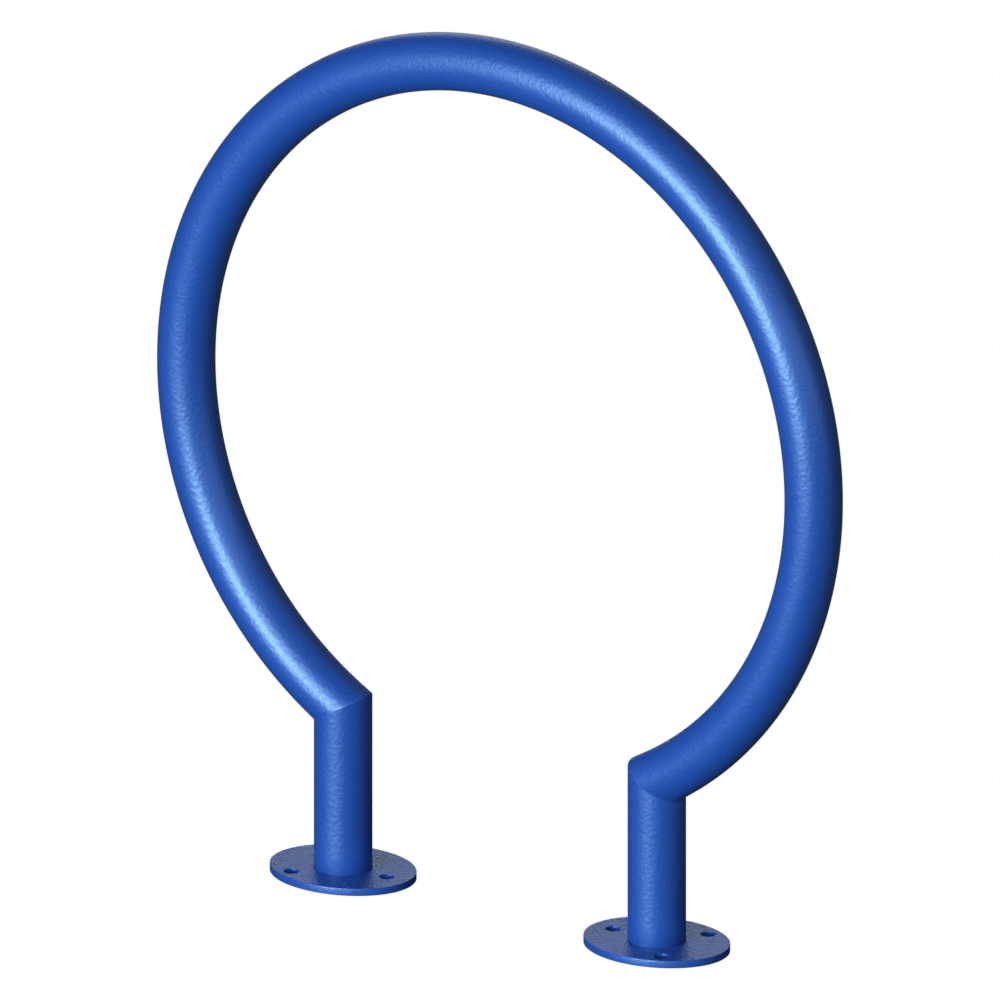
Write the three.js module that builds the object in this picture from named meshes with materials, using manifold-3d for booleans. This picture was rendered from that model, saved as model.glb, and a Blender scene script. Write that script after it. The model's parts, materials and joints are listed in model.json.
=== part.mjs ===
// Hoop bike rack for bolting down to paving.
// One round pipe is rolled to most of a circle and mitred on to two short legs.
// Each leg is let through an oval floor plate and welded from underneath.
// Units are millimetres and +Z is up. The origin is on the ground, midway
// between the legs, and the hoop lies in the XZ plane.

import * as THREE from 'three';
import { mergeVertices } from 'three/addons/utils/BufferGeometryUtils.js';
import Module from 'manifold-3d';

// Pipe of the hoop and of both legs
const pipeDiameter = 60.3;
const pipeWall = 3.9;

// Hoop, measured to the middle of the pipe
const hoopRadius = 393.7;
const neckAngle = 60; // degrees of the circle that are left open at the bottom

// Legs, from the top of the plate to where their middle line meets the hoop's
const legHeight = 174.5;

// Anchor holes, one towards the rack's middle and two to the outside
const anchorHoleDiameter = 16;
const anchorCircleDiameter = 110;
const anchorHoleAngles = [180, 50, -50]; // degrees from straight outwards

// Oval floor plate, which reaches past the anchor circle, most of all along the rack
const plateEndMargin = 25.5;
const plateSideMargin = 9.5;
const plateThickness = 8;
const plateEdgeBreak = 0.5;

// Weld preparation at the mitre, a V that opens to the outside
const mitreRootGap = 2;
const mitreBevelAngle = 30; // degrees on each side

// Weld under the plate, a fillet between the pipe's end and the plate's bore
const footWeldShare = 0.9; // of the pipe's wall
const footWeldThroatShare = 0.4; // how far its hollow face stands from the corner
const footWeldRecess = 0.5; // keeps the weld above the ground

// Clearances between pieces
const slipFit = 0.3; // pipe in the plate's bore
const weldFit = 0.3; // weld metal to the edges it joins

// Saw and drill strokes run past the stock, and joined stock overlaps a little
const overrun = 5;
const fusion = 0.1;

// Facets
const pipeSides = 32;
const boreSides = 16;
const hoopFacetsPerTurn = 96;
const plateSides = 72;
const anchorHoleSides = 20;

// Powder coat
const coatColour = 0x2052b4;
const coatRoughness = 0.42;
const coatMetalness = 0;

const fullTurn = 2 * Math.PI;
const pipeRadius = pipeDiameter / 2;
const boreRadius = pipeRadius - pipeWall;
const halfNeck = THREE.MathUtils.degToRad(neckAngle) / 2;
const legOffset = hoopRadius * Math.sin(halfNeck);
const jointHeight = plateThickness + legHeight;
const jointBelowCentre = hoopRadius * Math.cos(halfNeck);
const hoopCentreHeight = jointHeight + jointBelowCentre;
// The pipe turns by a right angle less half the neck, and the mitre halves it
const mitreTilt = (fullTurn / 4 - halfNeck) / 2;
const mitreStretch = 1 / Math.cos(mitreTilt);
const mitreRise = pipeRadius * Math.tan(mitreTilt);
const plateLength = anchorCircleDiameter + 2 * plateEndMargin;
const plateWidth = anchorCircleDiameter + 2 * plateSideMargin;
const footWeldSize = footWeldShare * pipeWall;
const legFoot = footWeldRecess + footWeldSize;

const library = await Module();
library.setup();

// Closed three.js geometry to a solid that can be joined and cut
function toSolid(geometry) {
  const shell = geometry.clone();
  shell.deleteAttribute('normal');
  shell.deleteAttribute('uv');
  const merged = mergeVertices(shell);
  return new library.Manifold(new library.Mesh({
    numProp: 3,
    vertProperties: merged.attributes.position.array,
    triVerts: new Uint32Array(merged.index.array),
  }));
}

// And back to a geometry that a mesh can show
function toGeometry(solid) {
  const { vertProperties, triVerts } = solid.getMesh();
  const geometry = new THREE.BufferGeometry();
  geometry.setAttribute('position', new THREE.BufferAttribute(vertProperties, 3));
  geometry.setIndex(new THREE.BufferAttribute(triVerts, 1));
  geometry.computeVertexNormals();
  return geometry;
}

// Corners of an oval or a circle, the last one not repeated
function ovalCorners(halfLength, halfWidth, sides) {
  const corners = [];
  for (let side = 0; side < sides; side += 1) {
    const turn = (side / sides) * fullTurn;
    corners.push(new THREE.Vector2(halfLength * Math.cos(turn), halfWidth * Math.sin(turn)));
  }
  return corners;
}

function pipeSection() {
  const section = new THREE.Shape(ovalCorners(pipeRadius, pipeRadius, pipeSides));
  section.holes.push(new THREE.Path(ovalCorners(boreRadius, boreRadius, boreSides)));
  return section;
}

// Middle line of the hoop about its own centre. The bend ends at the mitres, and
// the pipe runs on straight there, as the rolls leave its ends. One facet goes to
// each straight and the rest to the bend. Angles count from straight down.
class HoopLine extends THREE.Curve {
  constructor(bendFacets, straight) {
    super();
    this.bendFacets = bendFacets;
    this.straight = straight;
  }

  // Angle reached in the bend, and the distance run beyond the bend's end
  locate(t) {
    const facet = t * (this.bendFacets + 2) - 1;
    const bent = THREE.MathUtils.clamp(facet, 0, this.bendFacets);
    const angle = THREE.MathUtils.lerp(halfNeck, fullTurn - halfNeck, bent / this.bendFacets);
    return { angle, beyond: (facet - bent) * this.straight };
  }

  getTangentAt(t, target = new THREE.Vector3()) {
    const { angle } = this.locate(t);
    return target.set(Math.cos(angle), 0, Math.sin(angle));
  }

  getPointAt(t, target = new THREE.Vector3()) {
    const { angle, beyond } = this.locate(t);
    target.set(Math.sin(angle), 0, -Math.cos(angle)).multiplyScalar(hoopRadius);
    return target.addScaledVector(this.getTangentAt(t), beyond);
  }
}

// Rolled pipe, left long at both ends for the mitre cuts
function rolledPipe() {
  const bendTurns = 1 - (2 * halfNeck) / fullTurn;
  const bendFacets = Math.round(bendTurns * hoopFacetsPerTurn);
  return new THREE.ExtrudeGeometry(pipeSection(), {
    extrudePath: new HoopLine(bendFacets, mitreRise + overrun),
    steps: bendFacets + 2,
  });
}

// Straight pipe from the leg's foot, left long at the top for the mitre cut
function straightPipe() {
  const geometry = new THREE.ExtrudeGeometry(pipeSection(), {
    depth: jointHeight + mitreRise + overrun - legFoot,
    bevelEnabled: false,
  });
  return geometry.translate(0, 0, legFoot);
}

// The mitre's own frame in the frame of a leg, with its Z square to the cut
const mitreFrame = new THREE.Matrix4()
  .makeTranslation(0, 0, jointHeight)
  .multiply(new THREE.Matrix4().makeRotationY(mitreTilt));

// Block that a mitre cut takes away, above the cut or below it
function mitreOffcut(direction) {
  const size = 2 * (pipeDiameter + overrun);
  const block = new THREE.BoxGeometry(size, size, size);
  block.translate(0, 0, direction * (size / 2 + fusion));
  return block.applyMatrix4(mitreFrame);
}

// V groove round the mitre, opened by the given clearance on each side
function mitreGroove(clearance) {
  const root = mitreRootGap / 2 + clearance;
  const slope = Math.tan(THREE.MathUtils.degToRad(mitreBevelAngle));
  const mouthRadius = pipeRadius + overrun;
  const mouth = root + slope * (mouthRadius - boreRadius);
  const innerRadius = boreRadius - overrun;
  const profile = [
    [innerRadius, -root],
    [boreRadius, -root],
    [mouthRadius, -mouth],
    [mouthRadius, mouth],
    [boreRadius, root],
    [innerRadius, root],
    [innerRadius, -root],
  ].map(([radius, height]) => new THREE.Vector2(radius, height));
  const ring = new THREE.LatheGeometry(profile, pipeSides);
  ring.rotateX(fullTurn / 4);
  ring.scale(mitreStretch, 1, 1);
  return ring.applyMatrix4(mitreFrame);
}

// Oval plate with its rim broken, bored for the pipe and drilled for the anchors
function floorPlate() {
  const outline = new THREE.Shape(ovalCorners(plateLength / 2, plateWidth / 2, plateSides));
  const blank = new THREE.ExtrudeGeometry(outline, {
    depth: plateThickness - 2 * plateEdgeBreak,
    bevelThickness: plateEdgeBreak,
    bevelSize: plateEdgeBreak,
    bevelOffset: -plateEdgeBreak,
    bevelSegments: 1,
  });
  blank.translate(0, 0, plateEdgeBreak);
  let plate = toSolid(blank).subtract(toSolid(plateDrill(pipeRadius + slipFit, pipeSides)));
  for (const degrees of anchorHoleAngles) {
    const angle = THREE.MathUtils.degToRad(degrees);
    const drill = plateDrill(anchorHoleDiameter / 2, anchorHoleSides);
    drill.translate(
      (anchorCircleDiameter / 2) * Math.cos(angle),
      (anchorCircleDiameter / 2) * Math.sin(angle),
      0,
    );
    plate = plate.subtract(toSolid(drill));
  }
  return toGeometry(plate);
}

function plateDrill(radius, sides) {
  const stroke = plateThickness + 2 * overrun;
  const drill = new THREE.CylinderGeometry(radius, radius, stroke, sides);
  drill.rotateX(fullTurn / 4);
  return drill.translate(0, 0, plateThickness / 2);
}

// Hollow-faced fillet in the corner of the pipe's end and the plate's bore
function footWeld() {
  const toe = pipeRadius - footWeldSize;
  const throat = footWeldThroatShare * footWeldSize;
  const profile = [
    [pipeRadius, 0],
    [pipeRadius, -footWeldSize],
    [pipeRadius - throat, -throat],
    [toe, 0],
    [pipeRadius, 0],
  ].map(([radius, height]) => new THREE.Vector2(radius, height));
  const ring = new THREE.LatheGeometry(profile.reverse(), pipeSides);
  return ring.rotateX(fullTurn / 4);
}

// Leg frames: the right-hand one as drawn, the left-hand one turned half round
const legFrames = { right: 0, left: fullTurn / 2 };

function legFrame(turn) {
  return new THREE.Matrix4()
    .makeRotationZ(turn)
    .multiply(new THREE.Matrix4().makeTranslation(legOffset, 0, 0));
}

// Stock for the three lengths of pipe, all in the frame of the right-hand leg
const hoopToLeg = legFrame(legFrames.right).invert()
  .multiply(new THREE.Matrix4().makeTranslation(0, 0, hoopCentreHeight));
const legStock = toSolid(straightPipe()).subtract(toSolid(mitreOffcut(1)));
const hoopStock = toSolid(rolledPipe().applyMatrix4(hoopToLeg)).subtract(toSolid(mitreOffcut(-1)));

function legTube() {
  return toGeometry(legStock.subtract(toSolid(mitreGroove(weldFit))));
}

// Weld metal that fills the groove, flush with both pipes inside and out
function mitreWeld() {
  return toGeometry(legStock.add(hoopStock).intersect(toSolid(mitreGroove(0))));
}

// The whole hoop about its own centre, mitred and bevelled at both legs
function hoopTube() {
  let hoop = toSolid(rolledPipe());
  for (const turn of Object.values(legFrames)) {
    const legToHoop = new THREE.Matrix4()
      .makeTranslation(0, 0, -hoopCentreHeight)
      .multiply(legFrame(turn));
    for (const cutter of [mitreOffcut(-1), mitreGroove(weldFit)]) {
      hoop = hoop.subtract(toSolid(cutter.applyMatrix4(legToHoop)));
    }
  }
  return toGeometry(hoop);
}

function coated(name, geometry) {
  const material = new THREE.MeshStandardMaterial({
    color: coatColour,
    roughness: coatRoughness,
    metalness: coatMetalness,
  });
  const mesh = new THREE.Mesh(geometry, material);
  mesh.name = name;
  return mesh;
}

const rack = new THREE.Group();

const hoop = coated('hoop_tube', hoopTube());
hoop.position.z = hoopCentreHeight;
rack.add(hoop);

for (const [side, turn] of Object.entries(legFrames)) {
  const leg = new THREE.Group();
  leg.applyMatrix4(legFrame(turn));
  leg.add(coated(`${side}_leg_tube`, legTube()));
  leg.add(coated(`${side}_mitre_weld`, mitreWeld()));
  leg.add(coated(`${side}_floor_plate`, floorPlate()));
  const weld = coated(`${side}_foot_weld`, footWeld());
  weld.position.z = legFoot;
  leg.add(weld);
  rack.add(leg);
}

export default rack;
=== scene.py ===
"""Looks of a hoop bike rack: a rolled pipe mitred on to two legs with oval floor plates.

Lengths are metres, +Z is up and the hoop lies in the XZ plane. The main sizes are read from
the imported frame, the small ones are given here, and every piece rides on the frame's one body.
"""

import json
import math

import bmesh
import bpy
from mathutils import Matrix, Vector


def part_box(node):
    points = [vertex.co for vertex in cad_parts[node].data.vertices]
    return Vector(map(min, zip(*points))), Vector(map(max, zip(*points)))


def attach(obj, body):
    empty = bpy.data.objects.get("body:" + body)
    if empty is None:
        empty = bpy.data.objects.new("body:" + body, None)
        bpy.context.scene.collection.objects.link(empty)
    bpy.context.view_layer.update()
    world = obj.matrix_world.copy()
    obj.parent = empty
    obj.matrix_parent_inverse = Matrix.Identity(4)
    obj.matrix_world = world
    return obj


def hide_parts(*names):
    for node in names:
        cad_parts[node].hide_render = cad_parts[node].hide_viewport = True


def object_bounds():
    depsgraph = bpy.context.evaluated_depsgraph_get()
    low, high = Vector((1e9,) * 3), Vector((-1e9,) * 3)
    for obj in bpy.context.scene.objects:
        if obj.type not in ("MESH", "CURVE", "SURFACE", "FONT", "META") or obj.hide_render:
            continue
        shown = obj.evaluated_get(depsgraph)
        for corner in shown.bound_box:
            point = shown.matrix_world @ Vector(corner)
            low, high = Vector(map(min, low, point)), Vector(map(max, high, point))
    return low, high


bl_info = {
    "name": "Hoop Bike Rack",
    "version": (1, 0, 0),
    "blender": (4, 5, 0),
    "location": "View3D > Sidebar > Bike Rack",
    "description": "Builds a powder coated hoop bike rack and a studio to show it in",
    "category": "Add Mesh",
}

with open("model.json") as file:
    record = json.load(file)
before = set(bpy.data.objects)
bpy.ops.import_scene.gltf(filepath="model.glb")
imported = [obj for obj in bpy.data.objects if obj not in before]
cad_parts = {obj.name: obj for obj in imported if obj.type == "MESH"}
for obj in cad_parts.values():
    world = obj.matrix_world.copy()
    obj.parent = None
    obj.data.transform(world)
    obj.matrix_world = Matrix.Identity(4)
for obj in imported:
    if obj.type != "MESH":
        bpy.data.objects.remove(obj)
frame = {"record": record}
cad_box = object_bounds()

MM = 0.001
FULL_TURN = 2 * math.pi
BODY = "root"
SIDES = {"right": 0.0, "left": math.pi}  # each leg's turn about the rack's middle

# Soft boxes, with their directions and sizes in degrees. One with a brightness of 1 shows as
# white. They stand far off, so that they light the whole rack alike.
LAMPS = {
    "low_key": {"azimuth": -2, "elevation": 5, "width": 33, "height": 11, "brightness": 23.5},
    "high_key": {"azimuth": -6, "elevation": 25, "width": 44, "height": 15, "brightness": 4.7},
    "camera_fill": {"azimuth": 45, "elevation": 20, "width": 36, "height": 30, "brightness": 0.85},
    "right_fill": {"azimuth": 85, "elevation": 15, "width": 36, "height": 26, "brightness": 0.65},
    "back_panel": {"azimuth": 216, "elevation": 15, "width": 26, "height": 26, "brightness": 1.45},
    "back_fill": {"azimuth": 218, "elevation": 4, "width": 50, "height": 8, "brightness": 13},
}
UNMIRRORED_LAMP = "back_fill"
LAMP_DISTANCE = 30
CAMERA_DISTANCE = 4
FLOOR_RADIUS = 9
FLOOR_SIDES = 96
MERGE_DISTANCE = 0.001 * MM
SHARP_ANGLE = math.radians(40)

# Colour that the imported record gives, and sizes that the frame's boxes give
frame_coat_colour = frame["record"]["materials"][0]["base_color"]
leg_low, leg_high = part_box("right_leg_tube")
hoop_low, hoop_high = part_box("hoop_tube")
plate_low, plate_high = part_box("right_floor_plate")
foot_weld_low, foot_weld_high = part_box("right_foot_weld")
frame_pipe_diameter = leg_high.y - leg_low.y
frame_hoop_radius = (hoop_high.x - hoop_low.x - frame_pipe_diameter) / 2
frame_hoop_height = hoop_high.z - (hoop_high.x - hoop_low.x) / 2
frame_leg_spacing = leg_high.x + leg_low.x


def length(name, description, default):
    """Length property in metres, shown in the scene's own unit."""
    return bpy.props.FloatProperty(
        name=name, description=description, default=default, min=0, unit="LENGTH", precision=4
    )


def share(name, description, default):
    """Share from nothing to all."""
    return bpy.props.FloatProperty(
        name=name, description=description, default=default, min=0, max=1, subtype="FACTOR"
    )


def angle(name, description, degrees):
    """Angle property, written here in degrees."""
    return bpy.props.FloatProperty(
        name=name, description=description, default=math.radians(degrees), subtype="ANGLE"
    )


def count(name, description, default):
    """Whole number of facets."""
    return bpy.props.IntProperty(name=name, description=description, default=default, min=3)


class RackSizes(bpy.types.PropertyGroup):
    """Sizes of the steel."""

    pipe_diameter: length(
        "Pipe diameter", "Outside diameter of the hoop and the legs", frame_pipe_diameter
    )
    pipe_wall: length("Pipe wall", "Wall thickness of the pipe", 3.9 * MM)
    hoop_radius: length("Hoop radius", "From the hoop's centre to the pipe's middle", frame_hoop_radius)
    hoop_height: length("Hoop height", "Height of the hoop's centre", frame_hoop_height)
    leg_spacing: length("Leg spacing", "Between the middle lines of the legs", frame_leg_spacing)
    leg_foot: length("Leg foot", "Height of the pipe's end inside the plate", leg_low.z)
    plate_length: length("Plate length", "Of the oval, along the rack", plate_high.x - plate_low.x)
    plate_width: length("Plate width", "Of the oval, across the rack", plate_high.y - plate_low.y)
    plate_thickness: length("Plate thickness", "Of the oval plate", plate_high.z)
    plate_rounding: length("Plate rounding", "Radius on the edges of the plate and its holes", 0.5 * MM)
    slip_fit: length("Slip fit", "Gap between the pipe and the plate's bore", 0.15 * MM)
    anchor_hole: length("Anchor hole", "Diameter of the anchor holes", 16 * MM)
    anchor_circle: length("Anchor circle", "Diameter of the circle of anchor holes", 110 * MM)
    anchor_spread: angle("Anchor spread", "Turn of the outer holes from straight outwards", 50)
    mitre_root_gap: length("Mitre root gap", "Opening of the mitre's groove at the bore", 2 * MM)
    mitre_bevel: angle("Mitre bevel", "Slope of each side of the mitre's groove", 30)
    mitre_rounding: length("Mitre rounding", "How far the ground edge is rounded each way", 1.2 * MM)
    weld_ripple: length("Weld ripple", "Height of the ripples in the weld under the plate", 0.25 * MM)


class RackFacets(bpy.types.PropertyGroup):
    """How finely the steel is drawn."""

    pipe_sides: count("Pipe sides", "Facets round the pipe", 96)
    hoop_rings: count("Hoop rings", "Facets along the hoop", 320)
    leg_rings: count("Leg rings", "Facets up a leg", 24)
    oval_sides: count("Oval sides", "Facets round a plate", 160)
    hole_sides: count("Hole sides", "Facets round an anchor hole", 48)
    weld_ripples: count("Weld ripples", "Ripples round the weld under a plate", 56)


class RackCoat(bpy.types.PropertyGroup):
    """Finish of the powder coat."""

    colour: bpy.props.FloatVectorProperty(
        name="Colour",
        description="Colour of the powder",
        default=frame_coat_colour,
        min=0,
        max=1,
        subtype="COLOR",
    )
    tint: bpy.props.FloatVectorProperty(
        name="Gloss tint",
        description="Colour of the reflection seen square on",
        default=(0.36, 0.64, 0.96),
        min=0,
        max=1,
        subtype="COLOR",
    )
    refraction: bpy.props.FloatProperty(
        name="Refraction", description="Index of refraction of the gloss", default=1.8, min=1
    )
    gloss_level: share("Gloss level", "Reflection, where a half is what the index gives", 1)
    roughness: share("Roughness", "Spread of the reflections", 0.41)
    grain_size: length("Grain size", "Width of the grains that give the coat its texture", 4 * MM)
    grain_height: length("Grain height", "Height of the grains", 0.066 * MM)
    plate_grain_size: length("Plate grain size", "Width of the rougher grains on the plates", 2.3 * MM)
    plate_grain_height: length("Plate grain height", "Height of the grains on the plates", 0.5 * MM)
    peel_size: length("Peel size", "Width of the broader waves in the coat", 9 * MM)
    peel_share: share("Peel share", "Height of those waves, to that of the grains", 0.25)
    fine_size_share: share("Fine size share", "Width of the finest grains, to the others", 0.4)
    fine_share: share("Fine share", "Height of the finest grains, to the others", 0.2)
    colour_spread: share("Colour spread", "How far the colour varies from grain to grain", 0.1)
    roughness_spread: share("Roughness spread", "How far the roughness varies", 0.02)
    # The corner settings paint shade on to each leg: its colour darkens towards the plate, and a bump
    # leans the coat in there.
    corner_shade_reach: length("Corner reach", "How far up a leg the coat of the corner reaches", 20 * MM)
    painted_corner_shade: share("Corner dark", "How much darker the coat is in the corner", 0.3)
    corner_lean: angle("Corner lean", "How far the coat leans in at the corner", 12)


class StudioSettings(bpy.types.PropertyGroup):
    """Camera, room and floor."""

    azimuth: angle("Azimuth", "Turn of the camera, from straight in front towards the right", 34.94)
    elevation: angle("Elevation", "Height of the camera above the horizon", 19.26)
    view_size: length("View size", "Width of what the camera takes in", 1.0288)
    aim_height: length("Aim height", "Height of the point at the picture's middle", 0.4467)
    room_level: share("Room level", "Light of the dim room all round the rack", 0.06)
    room_mirrored: share("Room mirrored", "White of the room's pale side in the reflections", 0.14)
    floor_mirrored: share("Floor mirrored", "The same for the floor on that side", 0.07)
    pale_side: angle("Pale side", "Turn of the room's pale side, from straight in front", 160)
    pale_depth: share("Pale depth", "How softly the pale side starts", 0.5)
    floor_grey: share("Floor grey", "Colour of the floor under the lamps", 0.02)
    floor_white: share("Floor white", "White that the camera sees added to the floor", 0.994)


def feed(tree, socket, value):
    """Links an output to the socket, or sets the socket's own value."""
    if isinstance(value, bpy.types.NodeSocket):
        tree.links.new(value, socket)
    else:
        socket.default_value = value


def calculate(tree, operation, *values):
    """Math node on sockets and numbers, giving its result."""
    node = tree.nodes.new("ShaderNodeMath")
    node.operation = operation
    for socket, value in zip(node.inputs, values):
        feed(tree, socket, value)
    return node.outputs["Value"]


def between(tree, factor, start, end):
    """Number that goes from start to end as the factor goes from 0 to 1."""
    node = tree.nodes.new("ShaderNodeMix")
    node.clamp_factor = False
    for name, value in (("Factor", factor), ("A", start), ("B", end)):
        feed(tree, node.inputs[name], value)
    return node.outputs["Result"]


def ramp(tree, value, start, end, shape="LINEAR"):
    """Mask that goes from nothing at the start to all at the end."""
    node = tree.nodes.new("ShaderNodeMapRange")
    node.interpolation_type = shape
    for name, given in (("Value", value), ("From Min", start), ("From Max", end)):
        feed(tree, node.inputs[name], given)
    return node.outputs["Result"]


def point(tree, x, y, z):
    """Vector from three numbers."""
    node = tree.nodes.new("ShaderNodeCombineXYZ")
    for socket, value in zip(node.inputs, (x, y, z)):
        feed(tree, socket, value)
    return node.outputs["Vector"]


def new_tree(name, kind, inputs, outputs):
    """Node group with the given sockets, its input node and its output node."""
    tree = bpy.data.node_groups.new(name, kind)
    for direction, sockets in (("INPUT", inputs), ("OUTPUT", outputs)):
        for socket_name, socket_kind in sockets.items():
            tree.interface.new_socket(socket_name, in_out=direction, socket_type=socket_kind)
    given = tree.nodes.new("NodeGroupInput").outputs
    result = tree.nodes.new("NodeGroupOutput").inputs
    return tree, given, result


def lay_out(tree):
    """Sets the nodes in columns, each one right of all that feed it."""
    column_width, row_height = 200, 170
    depth = {node.name: 0 for node in tree.nodes}
    for _ in tree.nodes:
        for link in tree.links:
            depth[link.to_node.name] = max(depth[link.to_node.name], depth[link.from_node.name] + 1)
    filled = {}
    for node in tree.nodes:
        column = depth[node.name]
        row = filled.get(column, 0)
        filled[column] = row + 1
        node.location = (column * column_width, -row * row_height)


def away(azimuth, elevation):
    """Direction from the rack, turned from straight in front towards the right, then raised."""
    return Vector(
        (
            math.sin(azimuth) * math.cos(elevation),
            -math.cos(azimuth) * math.cos(elevation),
            math.sin(elevation),
        )
    )


def neck_angle(sizes):
    """Half of the circle's open part, from straight down to where a leg meets the hoop."""
    return math.asin(sizes.leg_spacing / 2 / sizes.hoop_radius)


def mitre_tilt(sizes):
    """Slope of the mitre cut, which halves the turn from leg to hoop."""
    return (FULL_TURN / 4 - neck_angle(sizes)) / 2


def hoop_tree():
    """Geometry nodes for the rolled pipe: one grid, wrapped into its two skins and bevelled ends.

    Angles in the hoop count from straight down. Each line along the pipe runs on an arc
    about the hoop's centre, goes on straight past the bend's end and stops at the mitre.
    """
    numbers = (
        "Hoop Radius", "Pipe Radius", "Bore Radius", "Centre Height",
        "Neck Angle", "Mitre Tilt", "Root Gap", "Bevel Slope",
    )
    inputs = dict.fromkeys(numbers, "NodeSocketFloat")
    inputs.update({"Rings": "NodeSocketInt", "Sides": "NodeSocketInt", "Coat": "NodeSocketMaterial"})
    tree, given, result = new_tree(
        "Rolled hoop pipe", "GeometryNodeTree", inputs, {"Geometry": "NodeSocketGeometry"}
    )
    hoop_radius, pipe_radius, bore_radius, centre_height = (given[name] for name in numbers[:4])
    neck, tilt, root_gap, slope = (given[name] for name in numbers[4:])

    def calc(operation, *values):
        """Math node in this tree."""
        return calculate(tree, operation, *values)

    # Rows go along the outside, back along the bore, and close on the first row
    rings = given["Rings"]
    last_row = calc("MULTIPLY_ADD", rings, 2, 2)
    grid = tree.nodes.new("GeometryNodeMeshGrid")
    feed(tree, grid.inputs["Size X"], 1)
    feed(tree, grid.inputs["Size Y"], 1)
    feed(tree, grid.inputs["Vertices X"], calc("ADD", last_row, 1))
    feed(tree, grid.inputs["Vertices Y"], calc("ADD", given["Sides"], 1))
    place = tree.nodes.new("ShaderNodeSeparateXYZ")
    feed(tree, place.inputs["Vector"], tree.nodes.new("GeometryNodeInputPosition").outputs[0])
    row = calc("ROUND", calc("MULTIPLY", calc("ADD", place.outputs["X"], 0.5), last_row))
    row = calc("FLOORED_MODULO", row, last_row)
    turn = calc("MULTIPLY", calc("ADD", place.outputs["Y"], 0.5), FULL_TURN)

    in_bore = calc("GREATER_THAN", row, calc("ADD", rings, 0.5))
    radius = between(tree, in_bore, pipe_radius, bore_radius)
    back = calc("SUBTRACT", calc("SUBTRACT", last_row, 1), row)
    along = calc("DIVIDE", between(tree, in_bore, row, back), rings)

    # Where this line along the pipe meets its side of the mitre's groove
    outward = calc("MULTIPLY", radius, calc("COSINE", turn))
    sideways = calc("MULTIPLY", radius, calc("SINE", turn))
    line_radius = calc("ADD", hoop_radius, outward)
    bend = calc("ADD", neck, tilt)
    gap = calc("MULTIPLY_ADD", slope, calc("SUBTRACT", radius, bore_radius), calc("DIVIDE", root_gap, 2))
    cut = calc("SUBTRACT", calc("MULTIPLY", hoop_radius, calc("COSINE", bend)), gap)
    on_arc = calc("SUBTRACT", calc("ARCCOSINE", calc("DIVIDE", cut, line_radius)), tilt)
    reach = calc("MULTIPLY", calc("MULTIPLY", outward, -1), calc("COSINE", bend))
    past_bend = calc("DIVIDE", calc("SUBTRACT", reach, gap), calc("SINE", bend))
    on_straight = calc("SUBTRACT", neck, calc("DIVIDE", past_bend, hoop_radius))
    start = between(tree, calc("GREATER_THAN", past_bend, 0), on_arc, on_straight)

    # Place on that line, with the straight part as a step along the bend's last tangent
    run = between(tree, along, start, calc("SUBTRACT", FULL_TURN, start))
    bent = calc("MINIMUM", calc("MAXIMUM", run, neck), calc("SUBTRACT", FULL_TURN, neck))
    straight = calc("MULTIPLY", calc("SUBTRACT", run, bent), hoop_radius)
    sine, cosine = calc("SINE", bent), calc("COSINE", bent)
    x = calc("MULTIPLY_ADD", straight, cosine, calc("MULTIPLY", line_radius, sine))
    below = calc("MULTIPLY", line_radius, cosine)
    z = calc("MULTIPLY_ADD", straight, sine, calc("SUBTRACT", centre_height, below))

    wrapped = tree.nodes.new("GeometryNodeSetPosition")
    feed(tree, wrapped.inputs["Geometry"], grid.outputs["Mesh"])
    feed(tree, wrapped.inputs["Position"], point(tree, x, sideways, z))
    welded = tree.nodes.new("GeometryNodeMergeByDistance")
    feed(tree, welded.inputs["Geometry"], wrapped.outputs["Geometry"])
    feed(tree, welded.inputs["Distance"], MERGE_DISTANCE)
    smooth = tree.nodes.new("GeometryNodeSetShadeSmooth")
    feed(tree, smooth.inputs["Geometry"], welded.outputs["Geometry"])
    real = tree.nodes.new("GeometryNodeRealizeInstances")
    feed(tree, real.inputs["Geometry"], smooth.outputs["Geometry"])
    coated = tree.nodes.new("GeometryNodeSetMaterial")
    feed(tree, coated.inputs["Geometry"], real.outputs["Geometry"])
    feed(tree, coated.inputs["Material"], given["Coat"])
    feed(tree, result["Geometry"], coated.outputs["Geometry"])
    lay_out(tree)
    return tree


def new_object(name, data):
    """Links new data to the scene as an object at the origin, replacing one of that name."""
    old = bpy.data.objects.get(name)
    if old:
        bpy.data.objects.remove(old)
    made = bpy.data.objects.new(name, data)
    bpy.context.scene.collection.objects.link(made)
    return made


def plain_mesh(piece):
    """Swaps the piece's data for the mesh that its modifiers or its curves give."""
    depsgraph = bpy.context.evaluated_depsgraph_get()
    mesh = bpy.data.meshes.new_from_object(piece.evaluated_get(depsgraph))
    mesh.name = piece.name
    if piece.type == "MESH":
        piece.modifiers.clear()
        piece.data = mesh
        return piece
    name = piece.name
    bpy.data.objects.remove(piece)
    return new_object(name, mesh)


def face_outwards(mesh):
    """Turns a closed mesh so that its faces point out."""
    made = bmesh.new()
    made.from_mesh(mesh)
    if made.calc_volume(signed=True) < 0:
        bmesh.ops.reverse_faces(made, faces=made.faces)
    made.to_mesh(mesh)
    made.free()


def finish_piece(piece, node, coat):
    """Coats the piece, puts it on the rack's body and lets it stand for its node."""
    face_outwards(piece.data)
    piece.data.materials.clear()
    piece.data.materials.append(coat)
    piece.data.shade_smooth()
    piece.data.set_sharp_from_angle(angle=SHARP_ANGLE)
    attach(piece, BODY)
    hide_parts(node)


def ring_mesh(name, rows):
    """Closed mesh from rows of points, each row a ring and the last one joined to the first."""
    across = len(rows[0])
    points = [corner for row in rows for corner in row]
    faces = []
    for i in range(len(rows)):
        for j in range(across):
            next_i, next_j = (i + 1) % len(rows), (j + 1) % across
            faces.append(
                (
                    i * across + j,
                    i * across + next_j,
                    next_i * across + next_j,
                    next_i * across + j,
                )
            )
    mesh = bpy.data.meshes.new(name)
    mesh.from_pydata(points, [], faces)
    mesh.validate()
    return mesh


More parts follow.
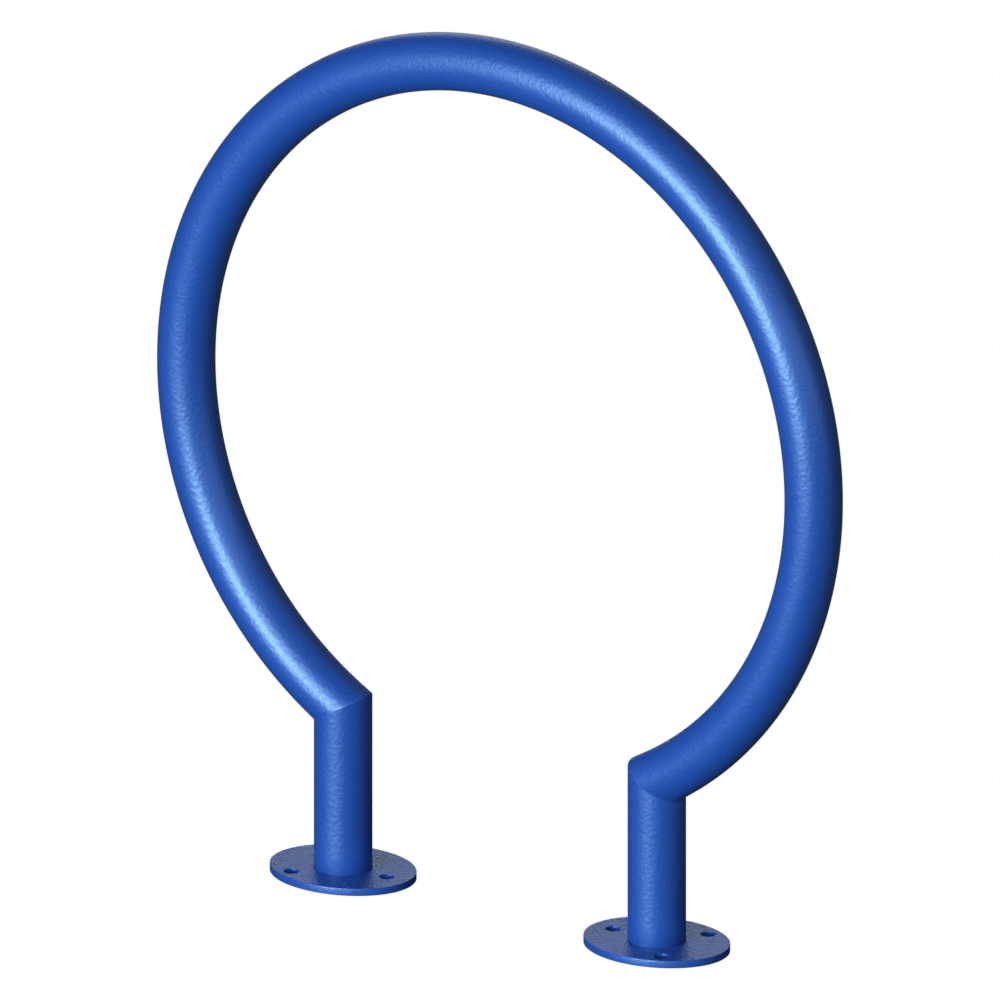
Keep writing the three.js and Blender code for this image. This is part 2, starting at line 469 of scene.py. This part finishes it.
def turns(sides):
    """Evenly spaced angles round a pipe."""
    return [FULL_TURN * side / sides for side in range(sides)]


def leg_frame(sizes, turn):
    """Matrix from a leg's own frame, on its middle line, to the rack's frame."""
    return Matrix.Rotation(turn, 4, "Z") @ Matrix.Translation((sizes.leg_spacing / 2, 0, 0))


def joint_height(sizes):
    """Height at which a leg's middle line meets the hoop's."""
    return sizes.hoop_height - sizes.hoop_radius * math.cos(neck_angle(sizes))


def point_on_leg(sizes, radius, turn, past):
    """Point of the leg's line at this turn, that far past the mitre's plane."""
    tilt = mitre_tilt(sizes)
    outward = radius * math.cos(turn)
    height = joint_height(sizes) + (past - math.sin(tilt) * outward) / math.cos(tilt)
    return Vector((outward, radius * math.sin(turn), height))


def point_on_hoop(sizes, radius, turn, past):
    """The same on the hoop's line, in the frame of the right-hand leg."""
    neck, tilt = neck_angle(sizes), mitre_tilt(sizes)
    bend = neck + tilt
    outward = radius * math.cos(turn)
    line_radius = sizes.hoop_radius + outward
    past_bend = (-outward * math.cos(bend) - past) / math.sin(bend)
    if past_bend > 0:
        bent, straight = neck, -past_bend
    else:
        bent = math.acos((sizes.hoop_radius * math.cos(bend) - past) / line_radius) - tilt
        straight = 0
    x = line_radius * math.sin(bent) + straight * math.cos(bent) - sizes.leg_spacing / 2
    z = sizes.hoop_height - line_radius * math.cos(bent) + straight * math.sin(bent)
    return Vector((x, radius * math.sin(turn), z))


def groove_gap(sizes, radius):
    """Distance from the mitre's plane to the groove's side, at this distance from the pipe's middle."""
    bore_radius = sizes.pipe_diameter / 2 - sizes.pipe_wall
    return sizes.mitre_root_gap / 2 + math.tan(sizes.mitre_bevel) * (radius - bore_radius)


def leg_rows(sizes, facets):
    """Rings up the outside of a leg and back down its bore."""
    pipe_radius = sizes.pipe_diameter / 2
    bore_radius = pipe_radius - sizes.pipe_wall
    upwards = range(facets.leg_rings + 1)
    skins = ((pipe_radius, upwards), (bore_radius, reversed(upwards)))
    rows = []
    for radius, steps in skins:
        gap = groove_gap(sizes, radius)
        for step in steps:
            row = []
            for turn in turns(facets.pipe_sides):
                top = point_on_leg(sizes, radius, turn, -gap)
                foot = Vector((top.x, top.y, sizes.leg_foot))
                row.append(foot.lerp(top, step / facets.leg_rings))
            rows.append(row)
    return rows


def mitre_weld_rows(sizes, facets):
    """Rings over the ground face of the mitre's weld and back along its root."""
    pipe_radius = sizes.pipe_diameter / 2
    bore_radius = pipe_radius - sizes.pipe_wall
    mouth = groove_gap(sizes, pipe_radius)
    root = groove_gap(sizes, bore_radius)
    rounding = sizes.mitre_rounding
    edge_steps = 8
    columns = []
    for turn in turns(facets.pipe_sides):
        before = point_on_leg(sizes, pipe_radius, turn, -rounding)
        edge = point_on_leg(sizes, pipe_radius, turn, 0)
        edge = edge.lerp(point_on_hoop(sizes, pipe_radius, turn, 0), 0.5)
        after = point_on_hoop(sizes, pipe_radius, turn, rounding)
        column = [point_on_leg(sizes, pipe_radius, turn, -mouth)]
        for step in range(edge_steps + 1):
            t = step / edge_steps
            column.append(before.lerp(edge, t).lerp(edge.lerp(after, t), t))
        column.append(point_on_hoop(sizes, pipe_radius, turn, mouth))
        column.append(point_on_hoop(sizes, bore_radius, turn, root))
        inner = point_on_leg(sizes, bore_radius, turn, 0)
        column.append(inner.lerp(point_on_hoop(sizes, bore_radius, turn, 0), 0.5))
        column.append(point_on_leg(sizes, bore_radius, turn, -root))
        columns.append(column)
    return list(zip(*columns))


def foot_weld_rows(sizes, facets):
    """Rings of the rippled fillet under the plate, from the bore's wall to the pipe's end."""
    pipe_radius = sizes.pipe_diameter / 2
    size = foot_weld_high.z - foot_weld_low.z
    face_steps = 8
    sides_per_ripple = 8
    hollow_share = 0.2
    rows = [[] for _ in range(face_steps + 2)]
    for turn in turns(facets.weld_ripples * sides_per_ripple):
        phase = (turn / FULL_TURN * facets.weld_ripples) % 1
        ripple = sizes.weld_ripple * (1 - (2 * phase - 1) ** 2)
        corner = Vector((pipe_radius, 0, sizes.leg_foot))
        around = Matrix.Rotation(turn, 3, "Z")
        rows[0].append(around @ corner)
        for step in range(face_steps + 1):
            t = step / face_steps
            face = Vector((pipe_radius - size * t, 0, sizes.leg_foot - size * (1 - t)))
            crown = 4 * t * (1 - t)
            inwards = Vector((1, 0, 1)).normalized()
            face += inwards * crown * (hollow_share * size - ripple)
            rows[step + 1].append(around @ face)
    return rows


def oval(spline_owner, half_length, half_width, sides, centre=(0, 0)):
    """Adds a closed oval to a flat curve."""
    spline = spline_owner.splines.new("POLY")
    spline.points.add(sides - 1)
    for corner, turn in zip(spline.points, turns(sides)):
        x = centre[0] + half_length * math.cos(turn)
        y = centre[1] + half_width * math.sin(turn)
        corner.co = (x, y, 0, 1)
    spline.use_cyclic_u = True


def plate_curve(sizes, facets):
    """Flat curve of a plate with its bore and holes, thickened and rounded by its own bevel."""
    rounding_steps = 3
    curve = bpy.data.curves.new("floor_plate", "CURVE")
    curve.dimensions = "2D"
    curve.fill_mode = "BOTH"
    curve.extrude = sizes.plate_thickness / 2 - sizes.plate_rounding
    curve.bevel_depth = sizes.plate_rounding
    curve.bevel_resolution = rounding_steps
    curve.offset = -sizes.plate_rounding
    oval(curve, sizes.plate_length / 2, sizes.plate_width / 2, facets.oval_sides)
    bore_radius = sizes.pipe_diameter / 2 + sizes.slip_fit
    oval(curve, bore_radius, bore_radius, facets.pipe_sides)
    for direction in (math.pi, sizes.anchor_spread, -sizes.anchor_spread):
        reach = sizes.anchor_circle / 2
        centre = (reach * math.cos(direction), reach * math.sin(direction))
        oval(curve, sizes.anchor_hole / 2, sizes.anchor_hole / 2, facets.hole_sides, centre)
    return curve


def grain_group():
    """Shader group for the texture of a powder coat: fine grains over broad, low waves."""
    numbers = (
        "Grain Size", "Peel Size", "Peel Share", "Fine Size Share", "Fine Share",
        "Colour Spread", "Roughness", "Roughness Spread",
    )
    inputs = {"Vector": "NodeSocketVector", "Colour": "NodeSocketColor"}
    inputs.update(dict.fromkeys(numbers, "NodeSocketFloat"))
    outputs = {"Colour": "NodeSocketColor", "Roughness": "NodeSocketFloat", "Height": "NodeSocketFloat"}
    name = "Powder coat grain"
    if name in bpy.data.node_groups:
        return bpy.data.node_groups[name]
    tree, given, result = new_tree(name, "ShaderNodeTree", inputs, outputs)

    def noise(size, detail):
        """Bumps that size, from about -1 to 1."""
        contrast = 4
        node = tree.nodes.new("ShaderNodeTexNoise")
        feed(tree, node.inputs["Vector"], given["Vector"])
        feed(tree, node.inputs["Scale"], calculate(tree, "DIVIDE", 1, size))
        feed(tree, node.inputs["Detail"], detail)
        return calculate(tree, "MULTIPLY_ADD", node.outputs["Fac"], contrast, -contrast / 2)

    fine_size = calculate(tree, "MULTIPLY", given["Grain Size"], given["Fine Size Share"])
    grain = noise(given["Grain Size"], detail=0.5)
    peel = noise(given["Peel Size"], detail=1)
    fine = noise(fine_size, detail=1)
    height = calculate(tree, "MULTIPLY_ADD", peel, given["Peel Share"], grain)
    height = calculate(tree, "MULTIPLY_ADD", fine, given["Fine Share"], height)
    lighter = calculate(tree, "MULTIPLY_ADD", fine, given["Colour Spread"], 1)
    shaded = tree.nodes.new("ShaderNodeVectorMath")
    shaded.operation = "SCALE"
    feed(tree, shaded.inputs["Vector"], given["Colour"])
    feed(tree, shaded.inputs["Scale"], lighter)
    rougher = calculate(tree, "MULTIPLY_ADD", fine, given["Roughness Spread"], given["Roughness"])
    feed(tree, result["Colour"], shaded.outputs["Vector"])
    feed(tree, result["Roughness"], rougher)
    feed(tree, result["Height"], height)
    lay_out(tree)
    return tree


def coat_material(name, settings, grain_size, grain_height, flat=None, corner=None):
    """Powder coat with grains of this size and height.

    Where the flat is given, only what lies above that height has grains as high as that.
    Where the corner is given, painted shade darkens the coat on its way down to that height, and a bump
    leans the coat in there.
    """
    if name in bpy.data.materials:
        return bpy.data.materials[name]
    material = bpy.data.materials.new(name)
    material.use_nodes = True
    tree = material.node_tree
    shader = tree.nodes["Principled BSDF"]
    coordinates = tree.nodes.new("ShaderNodeTexCoord").outputs["Object"]
    grain = tree.nodes.new("ShaderNodeGroup")
    grain.node_tree = grain_group()
    values = {
        "Vector": coordinates,
        "Grain Size": grain_size,
        "Peel Size": settings.peel_size,
        "Peel Share": settings.peel_share,
        "Fine Size Share": settings.fine_size_share,
        "Fine Share": settings.fine_share,
        "Colour": (*settings.colour, 1),
        "Colour Spread": settings.colour_spread,
        "Roughness": settings.roughness,
        "Roughness Spread": settings.roughness_spread,
    }
    for socket_name, value in values.items():
        feed(tree, grain.inputs[socket_name], value)
    colour, roughness = grain.outputs["Colour"], grain.outputs["Roughness"]
    height = grain.outputs["Height"]
    place = tree.nodes.new("ShaderNodeSeparateXYZ")
    feed(tree, place.inputs["Vector"], coordinates)
    if flat:
        on_flat = calculate(tree, "GREATER_THAN", place.outputs["Z"], flat)
        usual_share = settings.grain_height / grain_height
        height = calculate(tree, "MULTIPLY", height, between(tree, on_flat, usual_share, 1))
    if corner:
        # Painted shade: the mask grows towards the plate's top, where the leg meets the plate.
        near = ramp(tree, place.outputs["Z"], corner + settings.corner_shade_reach, corner)
        near = calculate(tree, "POWER", near, 2)
        # Painted shade: the coat's colour gets darker in the corner.
        darker = tree.nodes.new("ShaderNodeVectorMath")
        darker.operation = "SCALE"
        feed(tree, darker.inputs["Vector"], colour)
        feed(tree, darker.inputs["Scale"], between(tree, near, 1, 1 - settings.painted_corner_shade))
        colour = darker.outputs["Vector"]
        drop = math.tan(settings.corner_lean) * settings.corner_shade_reach / 2
        height = calculate(tree, "MULTIPLY_ADD", near, -drop / grain_height, height)
    bump = tree.nodes.new("ShaderNodeBump")
    feed(tree, bump.inputs["Height"], height)
    feed(tree, bump.inputs["Distance"], grain_height)
    feed(tree, shader.inputs["Base Color"], colour)
    feed(tree, shader.inputs["Roughness"], roughness)
    feed(tree, shader.inputs["Normal"], bump.outputs["Normal"])
    feed(tree, shader.inputs["IOR"], settings.refraction)
    feed(tree, shader.inputs["Specular IOR Level"], settings.gloss_level)
    feed(tree, shader.inputs["Specular Tint"], (*settings.tint, 1))
    lay_out(tree)
    return material


def pipe_coat(settings):
    """Coat on the hoop and the welds."""
    return coat_material("coat_on_pipe", settings, settings.grain_size, settings.grain_height)


def leg_coat(settings, plate_top):
    """The same on a leg, with painted shade that darkens it at the corner with the plate, where a bump
    also leans it in.
    """
    return coat_material(
        "coat_on_leg_painted_shade", settings, settings.grain_size, settings.grain_height, corner=plate_top
    )


def plate_coat(settings, plate_top):
    """The same on a plate, where the powder lies rougher on the flat."""
    return coat_material(
        "coat_on_plate",
        settings,
        settings.plate_grain_size,
        settings.plate_grain_height,
        flat=plate_top,
    )


class RACK_OT_hoop(bpy.types.Operator):
    """Roll the hoop from one length of pipe, mitred and bevelled at both ends"""

    bl_idname = "rack.hoop"
    bl_label = "Hoop"

    def execute(self, context):
        sizes, facets = context.scene.rack_sizes, context.scene.rack_facets
        coat = pipe_coat(context.scene.rack_coat)
        tree = hoop_tree()
        piece = new_object("rolled_hoop", bpy.data.meshes.new("rolled_hoop"))
        modifier = piece.modifiers.new("Rolled pipe", "NODES")
        modifier.node_group = tree
        values = {
            "Hoop Radius": sizes.hoop_radius,
            "Pipe Radius": sizes.pipe_diameter / 2,
            "Bore Radius": sizes.pipe_diameter / 2 - sizes.pipe_wall,
            "Centre Height": sizes.hoop_height,
            "Neck Angle": neck_angle(sizes),
            "Mitre Tilt": mitre_tilt(sizes),
            "Root Gap": sizes.mitre_root_gap,
            "Bevel Slope": math.tan(sizes.mitre_bevel),
            "Rings": facets.hoop_rings,
            "Sides": facets.pipe_sides,
            "Coat": coat,
        }
        for item in tree.interface.items_tree:
            if item.in_out == "INPUT":
                modifier[item.identifier] = values[item.name]
        piece = plain_mesh(piece)
        finish_piece(piece, "hoop_tube", coat)
        return {"FINISHED"}


class RACK_OT_legs(bpy.types.Operator):
    """Cut the two legs from the same pipe, square at the foot and mitred at the top"""

    bl_idname = "rack.legs"
    bl_label = "Legs"

    def execute(self, context):
        sizes, facets = context.scene.rack_sizes, context.scene.rack_facets
        coat = leg_coat(context.scene.rack_coat, sizes.plate_thickness)
        for side, turn in SIDES.items():
            name = f"{side}_leg"
            mesh = ring_mesh(name, leg_rows(sizes, facets))
            mesh.transform(leg_frame(sizes, turn))
            finish_piece(new_object(name, mesh), f"{side}_leg_tube", coat)
        return {"FINISHED"}


class RACK_OT_mitre_welds(bpy.types.Operator):
    """Fill the grooves of the two mitres and grind the welds flush"""

    bl_idname = "rack.mitre_welds"
    bl_label = "Mitre Welds"

    def execute(self, context):
        sizes, facets = context.scene.rack_sizes, context.scene.rack_facets
        coat = pipe_coat(context.scene.rack_coat)
        for side, turn in SIDES.items():
            name = f"{side}_mitre_joint"
            mesh = ring_mesh(name, mitre_weld_rows(sizes, facets))
            mesh.transform(leg_frame(sizes, turn))
            finish_piece(new_object(name, mesh), f"{side}_mitre_weld", coat)
        return {"FINISHED"}


class RACK_OT_floor_plates(bpy.types.Operator):
    """Cut the two oval floor plates, with their bores and anchor holes"""

    bl_idname = "rack.floor_plates"
    bl_label = "Floor Plates"

    def execute(self, context):
        sizes, facets = context.scene.rack_sizes, context.scene.rack_facets
        below_top = sizes.plate_rounding / 4
        coat = plate_coat(context.scene.rack_coat, sizes.plate_thickness - below_top)
        for side, turn in SIDES.items():
            name = f"{side}_oval_plate"
            piece = plain_mesh(new_object(name, plate_curve(sizes, facets)))
            lift = Matrix.Translation((0, 0, sizes.plate_thickness / 2))
            piece.data.transform(leg_frame(sizes, turn) @ lift)
            finish_piece(piece, f"{side}_floor_plate", coat)
        return {"FINISHED"}


class RACK_OT_foot_welds(bpy.types.Operator):
    """Lay the rippled fillet under each plate, between the pipe's end and the bore"""

    bl_idname = "rack.foot_welds"
    bl_label = "Foot Welds"

    def execute(self, context):
        sizes, facets = context.scene.rack_sizes, context.scene.rack_facets
        coat = pipe_coat(context.scene.rack_coat)
        for side, turn in SIDES.items():
            name = f"{side}_foot_bead"
            mesh = ring_mesh(name, foot_weld_rows(sizes, facets))
            mesh.transform(leg_frame(sizes, turn))
            finish_piece(new_object(name, mesh), f"{side}_foot_weld", coat)
        return {"FINISHED"}


def soft_box(name, azimuth, elevation, width, height, brightness):
    """Lamp in that direction from the rack, turned to face it and not itself seen."""
    data = bpy.data.lights.new(name, "AREA")
    data.shape = "RECTANGLE"
    data.size = 2 * LAMP_DISTANCE * math.tan(math.radians(width / 2))
    data.size_y = 2 * LAMP_DISTANCE * math.tan(math.radians(height / 2))
    data.energy = brightness * math.pi * data.size * data.size_y
    lamp = new_object(name, data)
    direction = away(math.radians(azimuth), math.radians(elevation))
    middle = (cad_box[0] + cad_box[1]) / 2
    lamp.location = middle + direction * LAMP_DISTANCE
    lamp.rotation_euler = direction.to_track_quat("Z", "Y").to_euler()
    lamp.visible_camera = False
    lamp.visible_glossy = name != UNMIRRORED_LAMP


def seen_white(tree, place, mirrored, settings):
    """White that the camera sees, and the share of it that reflections see on the pale side.

    The place is a direction or a point in metres.
    """
    across = tree.nodes.new("ShaderNodeVectorMath")
    across.operation = "DOT_PRODUCT"
    feed(tree, across.inputs[0], place)
    feed(tree, across.inputs[1], away(settings.pale_side, 0))
    pale = ramp(tree, across.outputs["Value"], 0, settings.pale_depth, "SMOOTHSTEP")
    path = tree.nodes.new("ShaderNodeLightPath").outputs
    direct = calculate(tree, "MAXIMUM", path["Is Camera Ray"], path["Is Transmission Ray"])
    reflected = calculate(tree, "MULTIPLY", path["Is Glossy Ray"], mirrored)
    return calculate(tree, "MULTIPLY_ADD", reflected, pale, direct)


def floor_material(settings):
    """Pale floor that the camera sees near white, with the rack's shadow kept on it."""
    material = bpy.data.materials.new("pale_floor")
    material.use_nodes = True
    tree = material.node_tree
    tree.nodes.clear()
    shadowed = tree.nodes.new("ShaderNodeBsdfDiffuse")
    grey = settings.floor_grey
    feed(tree, shadowed.inputs["Color"], (grey, grey, grey, 1))
    glow = tree.nodes.new("ShaderNodeEmission")
    place = tree.nodes.new("ShaderNodeTexCoord").outputs["Object"]
    white = seen_white(tree, place, settings.floor_mirrored, settings)
    feed(tree, glow.inputs["Strength"], calculate(tree, "MULTIPLY", white, settings.floor_white))
    both = tree.nodes.new("ShaderNodeAddShader")
    feed(tree, both.inputs[0], shadowed.outputs[0])
    feed(tree, both.inputs[1], glow.outputs[0])
    output = tree.nodes.new("ShaderNodeOutputMaterial")
    feed(tree, output.inputs["Surface"], both.outputs[0])
    lay_out(tree)
    return material


def light_world(settings):
    """White world to the camera, and to the rack a dim room with one pale side."""
    world = bpy.data.worlds.new("studio")
    bpy.context.scene.world = world
    world.use_nodes = True
    tree = world.node_tree
    tree.nodes.clear()
    direction = tree.nodes.new("ShaderNodeTexCoord").outputs["Generated"]
    white = seen_white(tree, direction, settings.room_mirrored, settings)
    reflected = tree.nodes.new("ShaderNodeLightPath").outputs["Is Glossy Ray"]
    room = between(tree, reflected, settings.room_level, 0)
    light = tree.nodes.new("ShaderNodeBackground")
    feed(tree, light.inputs["Strength"], calculate(tree, "MAXIMUM", room, white))
    feed(tree, light.inputs["Color"], (1, 1, 1, 1))
    output = tree.nodes.new("ShaderNodeOutputWorld")
    feed(tree, output.inputs["Surface"], light.outputs[0])
    lay_out(tree)


def add_camera(settings):
    """Camera without perspective, at the photograph's angle."""
    data = bpy.data.cameras.new("camera")
    data.type = "ORTHO"
    data.ortho_scale = settings.view_size
    camera = new_object("camera", data)
    direction = away(settings.azimuth, settings.elevation)
    camera.location = Vector((0, 0, settings.aim_height)) + direction * CAMERA_DISTANCE
    camera.rotation_euler = direction.to_track_quat("Z", "Y").to_euler()
    bpy.context.scene.camera = camera


class RACK_OT_stage(bpy.types.Operator):
    """Set up the floor, the lamps and the camera"""

    bl_idname = "rack.stage"
    bl_label = "Stage"

    def execute(self, context):
        settings = context.scene.rack_studio
        corners = [
            (FLOOR_RADIUS * math.cos(turn), FLOOR_RADIUS * math.sin(turn), 0)
            for turn in turns(FLOOR_SIDES)
        ]
        mesh = bpy.data.meshes.new("floor")
        mesh.from_pydata(corners, [], [tuple(range(FLOOR_SIDES))])
        mesh.materials.append(floor_material(settings))
        new_object("floor", mesh)
        for name, lamp in LAMPS.items():
            soft_box(name, **lamp)
        light_world(settings)
        add_camera(settings)
        context.scene.view_settings.view_transform = "Standard"
        return {"FINISHED"}


class RACK_PT_panel(bpy.types.Panel):
    """Sizes, finish and building steps of the rack"""

    bl_idname = "RACK_PT_panel"
    bl_label = "Hoop Bike Rack"
    bl_space_type = "VIEW_3D"
    bl_region_type = "UI"
    bl_category = "Bike Rack"

    def draw(self, context):
        layout = self.layout
        for group in (getattr(context.scene, name) for name in SETTINGS):
            box = layout.box()
            for name in group.__annotations__:
                box.prop(group, name)
        for operator in STEPS:
            layout.operator(operator.bl_idname)


STEPS = (
    RACK_OT_hoop,
    RACK_OT_legs,
    RACK_OT_mitre_welds,
    RACK_OT_floor_plates,
    RACK_OT_foot_welds,
    RACK_OT_stage,
)
SETTINGS = {
    "rack_sizes": RackSizes,
    "rack_facets": RackFacets,
    "rack_coat": RackCoat,
    "rack_studio": StudioSettings,
}


def register():
    """Makes the classes known, and keeps the settings with the scene."""
    for cls in (*SETTINGS.values(), *STEPS, RACK_PT_panel):
        bpy.utils.register_class(cls)
    for name, cls in SETTINGS.items():
        setattr(bpy.types.Scene, name, bpy.props.PointerProperty(type=cls))


def unregister():
    """Takes back what register did."""
    for name in SETTINGS:
        delattr(bpy.types.Scene, name)
    for cls in (RACK_PT_panel, *reversed(STEPS), *reversed(SETTINGS.values())):
        bpy.utils.unregister_class(cls)


def main():
    """Builds the rack and its stage."""
    register()
    bpy.ops.rack.hoop()
    bpy.ops.rack.legs()
    bpy.ops.rack.mitre_welds()
    bpy.ops.rack.floor_plates()
    bpy.ops.rack.foot_welds()
    bpy.ops.rack.stage()


if __name__ == "__main__":
    main()
